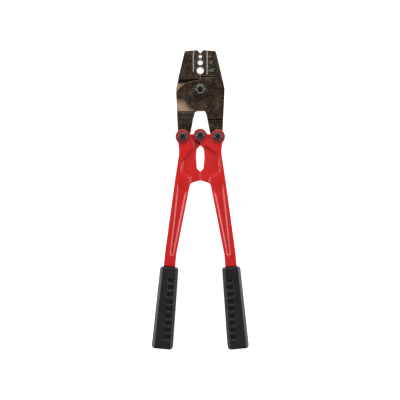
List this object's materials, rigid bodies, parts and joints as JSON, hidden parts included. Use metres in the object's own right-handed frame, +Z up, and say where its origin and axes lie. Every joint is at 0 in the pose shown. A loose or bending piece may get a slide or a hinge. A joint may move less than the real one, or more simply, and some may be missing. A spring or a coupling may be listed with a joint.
{
  "type": "bolt-cutter pattern crimping tool",
  "caption": "Long-handled hand tool with lapped steel jaws, crimping cavities on the closing line, cranked red handles and ribbed rubber grips.",
  "frame": {"origin": "on the main pivot's axis, at the underside of the main bolt's head, which lies in the plane the tool rests on", "axes": "+Y from the main pivot towards the nose, +Z up through the tool's thickness from the plane it rests on, +X to the right seen from above"},
  "size_m": [0.1448, 0.4471, 0.0304],
  "materials": {
    "jaw_steel": "blackened forged steel, mottled brown",
    "red_paint": "satin red enamel over cast steel",
    "grip_rubber": "moulded black rubber",
    "black_bolt": "black oxide",
    "bright_nut": "worn black oxide with bright corners",
    "black_washer": "black oxide"
  },
  "bodies": {
    "pivot": {"main_bolt": "black_bolt", "main_nut": "bright_nut", "main_washer_front": "black_washer", "main_washer_rear": "black_washer"},
    "jaw_right": {"jaw_right": "jaw_steel"},
    "jaw_left": {"jaw_left": "jaw_steel"},
    "handle_right": {"handle_right": "red_paint", "grip_right": "grip_rubber", "right_bolt": "black_bolt", "right_nut": "bright_nut", "right_washer_front": "black_washer", "right_washer_rear": "black_washer", "centre_bolt": "black_bolt", "centre_nut": "bright_nut", "centre_washer_front": "black_washer", "centre_washer_rear": "black_washer"},
    "handle_left": {"handle_left": "red_paint", "grip_left": "grip_rubber", "left_bolt": "black_bolt", "left_nut": "bright_nut", "left_washer_front": "black_washer", "left_washer_rear": "black_washer"}
  },
  "joints": [
    {"name": "jaw_right_swing", "type": "hinge", "parent": "pivot", "child": "jaw_right", "pos_m": [0, 0, 0.014], "axis": [0, 0, -1], "range_deg": [0, 5.23]},
    {"name": "jaw_left_swing", "type": "hinge", "parent": "pivot", "child": "jaw_left", "pos_m": [0, 0, 0.014], "axis": [0, 0, 1], "range_deg": [0, 5.23]},
    {"name": "handle_right_swing", "type": "hinge", "parent": "jaw_right", "child": "handle_right", "pos_m": [0.0264, -0.07, 0.014], "axis": [0, 0, 1], "range_deg": [0, 50.23]},
    {"name": "handles_open", "type": "hinge", "parent": "handle_right", "child": "handle_left", "pos_m": [0, -0.0682, 0.014], "axis": [0, 0, -1], "range_deg": [0, 90]}
  ],
  "couplings": [
    {"joint": "jaw_right_swing", "follows": "handles_open", "ratio": 0.057837},
    {"joint": "jaw_left_swing", "follows": "handles_open", "ratio": 0.057837},
    {"joint": "handle_right_swing", "follows": "handles_open", "ratio": 0.55784}
  ]
}
